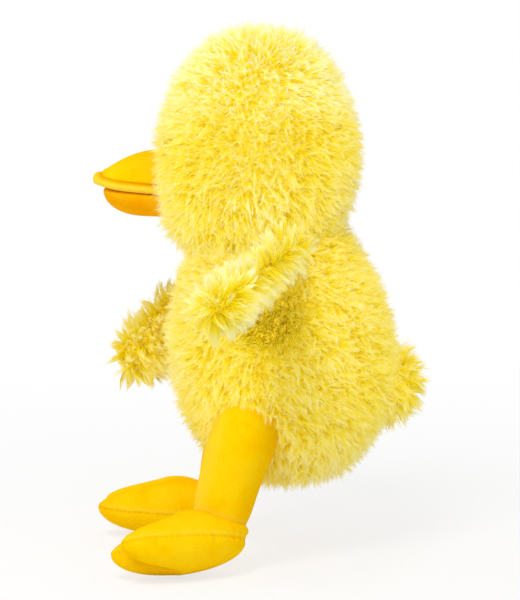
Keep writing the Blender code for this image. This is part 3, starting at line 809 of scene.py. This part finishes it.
def bodyForm():
    halfWidth, halfDepth = bodySizes["width"] / 2, bodySizes["depth"] / 2
    rings = [
        (
            along * bodySizes["height"] - bodySizes["seatFlat"], share * halfWidth,
            (share - lean) * halfDepth, (share + lean) * halfDepth,
        )
        for along, share, lean in bodySizes["rings"]
    ]
    return ringForm("bodyBacking", rings, (-bodySizes["seatFlat"], bodySizes["height"]), 16, 3, Matrix())


headSizes = {
    "width": 141.5 * mm, "height": 165 * mm, "turn": math.radians(-22),
    # place along the height, radius in front, and behind
    "rings": (
        (0.024, 0.57, 0.44), (0.097, 0.87, 0.70), (0.206, 0.955, 0.845), (0.34, 0.99, 0.935),
        (0.515, 1.0, 0.975), (0.703, 0.885, 0.855), (0.86, 0.695, 0.68), (0.96, 0.42, 0.42),
    ),
}


def headPlace():
    return Matrix.Translation(joints["neck_turn"]) @ Matrix.Rotation(headSizes["turn"], 4, "Z")


def headForm():
    radius = headSizes["width"] / 2
    half = headSizes["height"] / 2
    rings = [
        (along * 2 * half - half, (ahead + behind) / 2 * radius, ahead * radius, behind * radius)
        for along, ahead, behind in headSizes["rings"]
    ]
    return ringForm("headBacking", rings, (-half, half), 16, 3, headPlace())


def headRadiusAt(level):
    # the front's radius at a level above the head's middle
    share = level / headSizes["height"] + 1 / 2
    rings = headSizes["rings"]
    for (low, lowShare, _), (high, highShare, _) in zip(rings, rings[1:]):
        if low <= share <= high:
            return (lowShare + (highShare - lowShare) * (share - low) / (high - low)) * headSizes["width"] / 2
    return headSizes["width"] / 2


tailSizes = {
    "length": 74 * mm, "width": 50 * mm, "height": 60 * mm, "reach": 20.5 * mm, "level": 64 * mm,
    "tilt": math.radians(6),
    # place along the tail, and radius
    "rings": ((0.07, 0.55), (0.30, 0.98), (0.58, 0.97), (0.82, 0.72), (0.95, 0.42)),
}


def tailForm():
    halfWidth, halfHeight, half = tailSizes["width"] / 2, tailSizes["height"] / 2, tailSizes["length"] / 2
    rings = [
        (along * 2 * half - half, share * halfWidth, share * halfHeight, share * halfHeight)
        for along, share in tailSizes["rings"]
    ]
    middle = Vector((0, bodySizes["depth"] / 2 + tailSizes["reach"] - half, tailSizes["level"]))
    direction = Matrix.Rotation(tailSizes["tilt"], 3, "X") @ -front
    place = Matrix.Translation(middle) @ turnAlong(direction, side)
    return ringForm("tailBacking", rings, (-half, half), 12, 3, place)


wingSizes = {
    "length": 156 * mm, "width": 41 * mm, "thickness": 30 * mm, "root": 13 * mm,
    "rootRing": (0.72, 0.7),      # place and radius of the ring that rounds its root, as shares
    # raised to the side, swept to the front, twisted
    "left": (math.radians(80), math.radians(25), math.radians(43)),
    "right": (math.radians(18), math.radians(41.5), 0),
    "longer": {"left": 0, "right": 5 * mm},
    # place along the wing, half thickness, half width
    "rings": {
        "left": (
            (0.10, 0.55, 0.60), (0.30, 0.52, 0.66), (0.55, 0.62, 0.85), (0.78, 0.86, 1.08), (0.93, 0.74, 0.95),
        ),
        "right": (
            (0.10, 0.70, 0.62), (0.30, 0.82, 0.74), (0.55, 0.97, 0.93), (0.78, 0.98, 1.08), (0.93, 0.80, 0.95),
        ),
    },
}


def wingForm(sideName):
    sign = signs[sideName]
    raised, swept, twisted = wingSizes[sideName]
    root = wingSizes["root"]
    length = wingSizes["length"] + wingSizes["longer"][sideName]
    behind, narrower = wingSizes["rootRing"]
    rings = [(-behind * root, *(narrower * root,) * 3), (0, *(root,) * 3)]
    for along, thick, wide in wingSizes["rings"][sideName]:
        halfWidth = wide * wingSizes["width"] / 2
        rings.append((along * length, thick * wingSizes["thickness"] / 2, halfWidth, halfWidth))
    down = Matrix.Rotation(-swept, 3, "X") @ -up
    turn = Matrix.Rotation(-sign * raised, 4, "Y") @ turnAlong(down, side * sign)
    place = Matrix.Translation(joints[f"{sideName}_wing_flap"]) @ turn @ Matrix.Rotation(twisted, 4, "Z")
    return ringForm(f"{sideName}WingBacking", rings, (-root, length), 12, 3, place)


def makeFurParts(fur, backing, bills, legs):
    depth = furSizes["backingDepth"]
    head = shrunk(headForm(), depth)
    body = shrunk(bodyForm(), depth)
    tail = shrunk(tailForm(), depth)
    wings = {name: shrunk(wingForm(name), depth) for name in signs}
    headTree, bodyTree = searchTree(head), searchTree(body)

    pieces = [
        newPiece("headBacking", head, "head", "fur_cloth", backing, "head_cover", "head_stuffing"),
        newPiece(
            "bodyBacking", body, "torso", "fur_cloth", backing, "body_cover", "body_stuffing", "pellet_pouch"
        ),
        newPiece("tailBacking", tail, "torso", "fur_cloth", backing, "tail_cover", "tail_stuffing"),
    ]
    for name, mesh in wings.items():
        pieces.append(newPiece(
            f"{name}WingBacking", mesh, f"{name}_wing", "fur_cloth", backing,
            f"{name}_wing_cover", f"{name}_wing_stuffing",
        ))

    places = furPlaces
    headLimits = [(searchTree(mesh), places["inBill"]) for mesh in bills]
    headLimits.append((bodyTree, places["headInBody"]))
    bodyLimits = [(headTree, places["bodyInHead"])]
    bodyLimits += [(searchTree(mesh), places["inLeg"]) for mesh in legs]
    headShades = [(bodyTree, *places["headShade"])]
    bodyShades = [(headTree, *places["bodyShade"])]
    # painted shadow on the body under each wing
    for name, sign in signs.items():
        outward, behind, above = places["armpit"]
        below = joints[f"{name}_wing_flap"] + Vector((sign * outward, behind, above))
        bodyShades.append((bodyTree.find_nearest(below)[0], *places["armpitShade"]))
    # painted shade on the wings and tail where they meet the body
    limb = [(bodyTree, places["limbInBody"])], [(bodyTree, *places["limbShade"])]
    eyes = [headTree.find_nearest(eyePlace(name) @ Vector())[0] for name in signs]

    def grow(name, count, mesh, body, *rest):
        growFur(name, furCounts[count], mesh, body, fur, *rest)

    grow("headUnder", "headUnder", head, "head", headLimits, headShades, underFurSizes, eyes)
    grow("head", "head", head, "head", headLimits, headShades, headFurSizes, eyes)
    grow("bodyUnder", "bodyUnder", body, "torso", bodyLimits, bodyShades, underFurSizes)
    grow("body", "body", body, "torso", bodyLimits, bodyShades, furSizes)
    grow("tail", "tail", tail, "torso", *limb, wingFurSizes)
    for name, mesh in wings.items():
        grow(f"{name}WingUnder", "wingUnder", mesh, f"{name}_wing", *limb, underFurSizes)
        grow(f"{name}Wing", "wing", mesh, f"{name}_wing", *limb, wingFurSizes)


# Legs and feet
legSizes = {
    "hip": 25.5 * mm, "middle": 22.2 * mm, "ankle": 19.2 * mm,
    "endRing": (0.75, 0.72),      # place and radius of the rings that round its ends, as shares
    "slim": {"left": 0, "right": 6.5 * mm},       # how much flatter its front is
    "back": {"left": 0, "right": 5 * mm},
    "heel": 4.5 * mm,             # how much thicker it is behind the ankle
    "hollow": 0.2,                # how much of that it is thinner behind its middle
    # painted highlight in front and painted shade behind, as the light falls on it: how much, and from which
    # slope on
    "frontHighlight": (0.6, 0.55),
    "backShade": (0.55, 0.2),
    # a painted highlight beside the foot's crease, and painted shade in the crease: how much, and how far it
    # reaches
    "edgeHighlight": (0.5, 2.2 * mm),
    "creaseShade": (0.45, 1.6 * mm),
}


def legForm(sideName):
    sizes = legSizes
    hip = joints[f"{sideName}_hip_swing"]
    run = joints[f"{sideName}_ankle_flex"] - hip
    length = run.length
    hipRadius, ankleRadius, heel = sizes["hip"], sizes["ankle"], sizes["heel"]
    sign = signs[sideName]
    beyond, narrower = sizes["endRing"]
    # place, radius, and how much more at the back
    places = (
        (-beyond * hipRadius, narrower * hipRadius, 0),
        (0, hipRadius, 0),
        (length / 2, sizes["middle"], -sizes["hollow"] * heel),
        (length, ankleRadius, heel),
        (length + beyond * ankleRadius, narrower * ankleRadius, heel),
    )
    rings = []
    for along, radius, more in places:
        # the right leg's form is turned round, so its front is the left one's back
        depths = (radius + more, radius - sizes["slim"][sideName])
        rings.append((along, radius, *depths[::sign]))
    place = Matrix.Translation(hip - front * sizes["back"][sideName]) @ turnAlong(run, side * sign)
    return ringForm(f"{sideName}Leg", rings, (-hipRadius, length + ankleRadius), 16, 3, place)


footSizes = {
    "length": 102.5 * mm, "width": 58 * mm, "height": 40 * mm, "drop": 24.5 * mm, "heel": 18 * mm,
    "segments": (320, 64),        # round its outline, and from sole to top
    "crowding": 1.5,              # how the rings crowd towards the seam, so that it has enough of them
    "cleftDepth": 17 * mm, "cleftSpread": math.radians(17), "grooveWidth": 8.5 * mm,
    "groove": 0.9,
    "left": (math.radians(1.5), math.radians(-29), math.radians(15)),     # pitch, roll, yaw
    "right": (math.radians(3), 0, math.radians(-15)),
    "back": 0.72,                 # width at the heel against the toes
    "blunt": 0.65,                # how square the toes' end is, 1 for an oval
    "instep": 0.30,               # how much higher over the instep
    "sole": -0.10,                # the same under the sole
    # how much higher the top swells towards the leg, how far behind the middle, and how wide
    "ankleSwell": 0.22, "swellPlace": 14 * mm, "swellReach": 24 * mm,
    # the heel bulges out over the seam and lies further in under it
    "bulge": 7.5 * mm, "bulgeLevel": 12 * mm, "bulgeHeight": 9 * mm, "bulgeSpread": math.radians(48),
    "bulgeFrom": 6 * mm, "soleIn": 2.5 * mm,
    "seamDepth": 1.0 * mm, "seamWidth": 1.0 * mm, "stitch": 2.8 * mm,
    "outline": 2.6,               # the seam's length against the foot's
    "pucker": 0.55 * mm, "puckerReach": 6 * mm,       # folds that run out from the seam
    "puckers": (17, 29, 43),      # how many waves of them there are round the foot
    "seeds": {"left": 31, "right": 32},
    "heelPinch": 1.2 * mm, "pinchSpread": math.radians(9), "pinchHeight": 3 * mm,
    # painted highlight in a band over the seam, along its ridge and at the heel: how strong, with the places and
    # reaches
    "bandHighlight": 0.45, "bandPlace": 2.6 * mm, "bandReach": 1.3 * mm,
    "ridgeHighlight": 0.25, "ridgeReach": 5 * mm,
    "heelHighlight": 0.5, "heelReach": 5 * mm,
    # painted shade in the seam's groove and in the cleft between the toes
    "seamShade": 0.35, "cleftShade": 0.8,
}


def footForm(sideName):
    # a pillow of two panels, with a cleft between its two toes and a seam all round
    sizes = footSizes
    shape = steadyBall(*sizes["segments"])
    stitches = sizes["outline"] * sizes["length"] / sizes["stitch"]
    chance = np.random.default_rng(sizes["seeds"][sideName])
    folds = [(count, chance.uniform(0, 2 * math.pi)) for count in sizes["puckers"]]
    pale, shade = [], []
    for vertex in shape.verts:
        high = math.copysign(abs(vertex.co.z) ** sizes["crowding"], vertex.co.z)
        out = math.sqrt(max(0, 1 - high * high))
        angle = math.atan2(vertex.co.x, -vertex.co.y)
        ahead = math.cos(angle)
        behind = math.pi - abs(angle)
        widening = (1 + sizes["back"]) / 2 + (1 - sizes["back"]) / 2 * ahead
        blunt = ahead ** sizes["blunt"] if ahead > 0 else ahead
        forward = (sizes["length"] / 2 * blunt - sizes["cleftDepth"] * hump(angle, sizes["cleftSpread"])) * out
        sideways = sizes["width"] / 2 * widening * math.sin(angle) * out
        rise = 1 - sizes["instep" if high > 0 else "sole"] * ahead * out
        if high > 0:
            rise += sizes["ankleSwell"] * hump(forward + sizes["swellPlace"], sizes["swellReach"])
        dent = math.exp(-(abs(sideways / sizes["grooveWidth"]) ** 1.5)) * max(0, ahead) ** 0.7 * out
        spot = Vector((sideways, -forward, high * sizes["height"] / 2 * rise * (1 - sizes["groove"] * dent)))

        raised = hump(spot.z - sizes["bulgeLevel"], sizes["bulgeHeight"])
        raised *= min(1, max(0, spot.z / sizes["bulgeFrom"]))
        outward = (sizes["bulge"] * raised - sizes["soleIn"]) * hump(behind, sizes["bulgeSpread"]) * out
        closeness = hump(spot.z, sizes["seamWidth"]) if out > 0.7 else 0
        spot += Vector((math.sin(angle), -math.cos(angle), 0)) * outward

        # the seam draws the edge in, a little more at each stitch, and folds run out from it
        stitch = 0.6 + 0.4 * math.cos(angle * stitches)
        fold = sum(math.sin(count * angle + start) for count, start in folds) / len(folds)
        heel = hump(behind, sizes["pinchSpread"])
        inward = closeness * stitch * sizes["seamDepth"]
        inward += fold * math.exp(-abs(spot.z) / sizes["puckerReach"]) * sizes["pucker"] * out
        inward += heel * hump(spot.z, sizes["pinchHeight"]) * sizes["heelPinch"]
        spot.x -= math.sin(angle) * inward
        spot.y += math.cos(angle) * inward
        vertex.co = spot

        # painted highlight over the seam, on the ridge and at the heel; painted shade in the seam and the cleft
        band = hump(spot.z - sizes["bandPlace"], sizes["bandReach"]) * (0.6 + 0.4 * fold)
        ridge = hump(sideways / sizes["ridgeReach"] + 0.5 * fold, 1) * max(0, high) * (1 - 0.5 * max(0, ahead))
        heel *= math.exp(-abs(spot.z) / sizes["heelReach"])
        pale.append(sizes["bandHighlight"] * band + sizes["ridgeHighlight"] * ridge + sizes["heelHighlight"] * heel)
        shade.append(sizes["seamShade"] * closeness * stitch + sizes["cleftShade"] * dent**3)
    pitch, roll, yaw = sizes[sideName]
    turn = Matrix.Rotation(yaw, 4, "Z") @ Matrix.Rotation(roll, 4, "Y") @ Matrix.Rotation(-pitch, 4, "X")
    middle = Vector((0, sizes["heel"] - sizes["length"] / 2, -sizes["drop"]))
    mesh = meshFrom(f"{sideName}Foot", shape)
    mesh.transform(Matrix.Translation(joints[f"{sideName}_ankle_flex"]) @ turn @ Matrix.Translation(middle))
    mesh.shade_smooth()
    paint(mesh, "paintedHighlight", pale)
    paint(mesh, "foldShade", shade)
    return mesh


def nearness(mesh, other, reach):
    # how near each point of the mesh is to the other one: 1 where they touch
    tree = searchTree(other)
    shares = []
    for vertex in mesh.vertices:
        distance = tree.find_nearest(vertex.co, 3 * reach)[3]
        shares.append(0 if distance is None else hump(distance, reach))
    return np.array(shares)


def makeLegs(velour):
    legs = []
    for sideName in signs:
        leg = legForm(sideName)
        foot = footForm(sideName)
        legs.append(leg)
        ahead = np.array([-vertex.normal.y for vertex in leg.vertices])
        # painted highlight on the leg's front and beside the foot, painted shade on its back and in the crease on
        # the foot
        strength, slope = legSizes["frontHighlight"]
        pale = strength * np.clip(ahead - slope, 0, 1) / (1 - slope)
        strength, reach = legSizes["edgeHighlight"]
        paint(leg, "paintedHighlight", pale + strength * nearness(leg, foot, reach))
        strength, slope = legSizes["backShade"]
        paint(leg, "foldShade", strength * np.clip(-ahead - slope, 0, 1))
        strength, reach = legSizes["creaseShade"]
        for value, near in zip(foot.attributes["foldShade"].data, nearness(foot, leg, reach)):
            value.value = min(1, value.value + strength * near)
        piece = newPiece(
            f"{sideName}Leg", leg, f"{sideName}_leg", "velour", velour,
            f"{sideName}_leg_cover", f"{sideName}_leg_stuffing",
        )
        piece = newPiece(
            f"{sideName}Foot", foot, f"{sideName}_foot", "velour", velour,
            f"{sideName}_foot_top_panel", f"{sideName}_foot_sole_panel", f"{sideName}_foot_stuffing",
        )
    print("legs and feet made")
    return legs


# Bill
billSizes = {
    "reach": 52 * mm, "width": 54 * mm, "root": 22 * mm, "level": 35.5 * mm, "tilt": math.radians(3.5),
    "upperHeight": 31 * mm, "lip": 3 * mm, "lowerHeight": 16.2 * mm, "setback": 5.4 * mm, "overhang": 0.5 * mm,
    "tuck": 2 * mm,               # how far the lower bill reaches into the upper one
    "weltSwell": 1.4 * mm, "weltHeight": 7 * mm, "creaseDepth": 1.6 * mm, "creaseWidth": 1.1 * mm,
    "creasePlace": 0.62,          # above the welt's middle, as a share of its height
    "bead": 2.7 * mm, "beadLength": 9 * mm, "beadEdge": 1.5 * mm, "beadHeight": 0.8,
    "tipLift": 3.4 * mm,
    "liftFrom": 0.55,             # where the tip begins to lift, as a share of the length
    # painted highlight on the welt and the bead, and how deep the painted shade in the crease is
    "weltHighlight": 0.75, "beadHighlight": 0.3, "creaseShade": 0.7,
    # how much deeper the upper one's colour is towards the head, and over which share of its length
    "rootShade": 0.7, "shadeReach": 0.75,
    # place along the bill, half width, height
    "upper": (
        (0.10, 1.0, 0.99), (0.38, 1.0, 0.94), (0.60, 1.02, 0.82), (0.78, 0.97, 0.56), (0.92, 0.72, 0.26),
    ),
    "lower": (
        (0.10, 0.96, 1.0), (0.38, 0.97, 1.07), (0.60, 0.98, 1.14), (0.78, 0.94, 1.03), (0.92, 0.72, 0.66),
    ),
}


def billPlace(drop=0):
    sizes = billSizes
    start = headRadiusAt(eyeSizes["level"]) - sizes["root"]
    direction = Matrix.Rotation(-sizes["tilt"], 3, "X") @ front
    place = Matrix.Translation(front * start - up * sizes["level"]) @ turnAlong(direction, side)
    return headPlace() @ place @ Matrix.Translation((0, -drop, 0))


def rolledLip(mesh, place, length):
    # the welt along the upper bill's edge, the crease above it and the bead at its tip, with painted highlight on
    # the welt and bead and painted shade in the crease
    sizes = billSizes
    back = place.inverted()
    turned = back.to_3x3()
    middle = sizes["weltHeight"] / 2 - sizes["lip"]
    liftStart, liftRun = sizes["liftFrom"] * length, (1 - sizes["liftFrom"]) * length
    normals = [vertex.normal.copy() for vertex in mesh.vertices]
    pale, fold = [], []
    for vertex, normal in zip(mesh.vertices, normals):
        spot = back @ vertex.co
        outward = turned @ normal
        outward.y = 0
        if outward.length > 0.02:
            outward.normalize()
        tip = max(0, 1 - (length - spot.z) / sizes["beadLength"])
        welt = math.exp(-(((spot.y - middle) / (sizes["weltHeight"] / 2)) ** 4))
        crease = hump(spot.y - middle - sizes["weltHeight"] * sizes["creasePlace"], sizes["creaseWidth"])
        swell = sizes["weltSwell"] + sizes["bead"] * tip
        spot += outward * (welt * swell - crease * sizes["creaseDepth"])
        spot.y += math.tanh((spot.y - middle) / sizes["beadEdge"]) * sizes["bead"] * tip * sizes["beadHeight"]
        spot.y += sizes["tipLift"] * max(0, (spot.z - liftStart) / liftRun) ** 2
        vertex.co = place @ spot
        root = max(0, 1 - spot.z / (sizes["shadeReach"] * length))
        # painted highlight on the welt and bead; painted shade in the crease, and a deeper colour towards the
        # head
        pale.append(sizes["weltHighlight"] * welt + sizes["beadHighlight"] * tip)
        fold.append(sizes["creaseShade"] * crease + sizes["rootShade"] * (1 - welt) * root)
    mesh.update()
    paint(mesh, "paintedHighlight", pale)
    paint(mesh, "foldShade", fold)


def makeBill(yellow, orange):
    sizes = billSizes
    length = sizes["root"] + sizes["reach"]
    rings = [
        (along * length, wide * sizes["width"] / 2, sizes["lip"], high * sizes["upperHeight"])
        for along, wide, high in sizes["upper"]
    ]
    upper = ringForm("upperBill", rings, (0, length), 14, 4, billPlace())
    rolledLip(upper, billPlace(), length)
    length -= sizes["setback"]
    half = sizes["width"] / 2 - sizes["overhang"]
    rings = [
        (along * length, wide * half, high * sizes["lowerHeight"], sizes["tuck"])
        for along, wide, high in sizes["lower"]
    ]
    lower = ringForm("lowerBill", rings, (0, length), 14, 4, billPlace(sizes["lip"]))
    for name, mesh, slot, look in (
        ("upper", upper, "velour", yellow), ("lower", lower, "lower_bill_velour", orange),
    ):
        piece = newPiece(f"{name}Bill", mesh, "head", slot, look, f"{name}_bill_cover", f"{name}_bill_stuffing")
    print("bill made")
    return upper, lower


# Eyes: a glossy dome on a shank
eyeSizes = {
    "radius": 6 * mm, "height": 4.5 * mm, "level": 3 * mm, "seat": 4.6 * mm, "shank": 2 * mm,
    "shankLength": 12 * mm, "steps": 12, "segments": 40,
}
eyeLook = {"colour": (0.006, 0.005, 0.006, 1), "roughness": 0.08}


def eyeMaterial():
    material, _, _, shader = newMaterial("eyeGloss")
    setInputs(shader, {"Base Color": eyeLook["colour"], "Roughness": eyeLook["roughness"]})
    return material


def eyePlace(sideName):
    low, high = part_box(f"{sideName}_eye")
    outward = (Vector(low) + Vector(high)) / 2 - joints["neck_turn"]
    outward.z = 0
    outward.normalize()
    level = eyeSizes["level"]
    seat = outward * (headRadiusAt(level) - eyeSizes["seat"]) + up * level
    return Matrix.Translation(joints["neck_turn"] + seat) @ turnAlong(outward, up)


def makeEyes(gloss):
    sizes = eyeSizes
    for sideName in signs:
        shape = bmesh.new()
        angles = [math.pi / 2 * index / sizes["steps"] for index in range(sizes["steps"] + 1)]
        outline = [(math.sin(angle) * sizes["radius"], math.cos(angle) * sizes["height"]) for angle in angles]
        outline += [(sizes["shank"], 0), (sizes["shank"], -sizes["shankLength"]), (0, -sizes["shankLength"])]
        points = [shape.verts.new((across, 0, height)) for across, height in outline]
        edges = [shape.edges.new(pair) for pair in zip(points, points[1:])]
        bmesh.ops.spin(
            shape, geom=[*points, *edges], cent=(0, 0, 0), axis=(0, 0, 1), angle=2 * math.pi,
            steps=sizes["segments"], use_merge=True,
        )
        bmesh.ops.remove_doubles(shape, verts=shape.verts, dist=0.01 * mm)
        mesh = meshFrom(f"{sideName}Eye", shape)
        mesh.transform(eyePlace(sideName))
        mesh.shade_smooth()
        newPiece(f"{sideName}EyeGlass", mesh, "head", "eye_plastic", gloss, f"{sideName}_eye")
    print("eyes made")


target, right, upward, away = makeCamera()
makeWorld()
makeLamps(target, right, upward, away)
makeFloor()
fur = furMaterial()
backing = backingMaterial()
shortPile = shortPileGroup()
yellowVelour = velourMaterial("yellowVelour", velourLook["yellow"], shortPile)
orangeVelour = velourMaterial("orangeVelour", velourLook["orange"], shortPile)
eyeGloss = eyeMaterial()
print("studio and materials ready")

billMeshes = makeBill(yellowVelour, orangeVelour)
legMeshes = makeLegs(yellowVelour)
makeEyes(eyeGloss)
makeFurParts(fur, backing, billMeshes, legMeshes)

bpy.context.scene.view_settings.view_transform = "Standard"
bpy.context.view_layer.update()
print("whole duck ready")
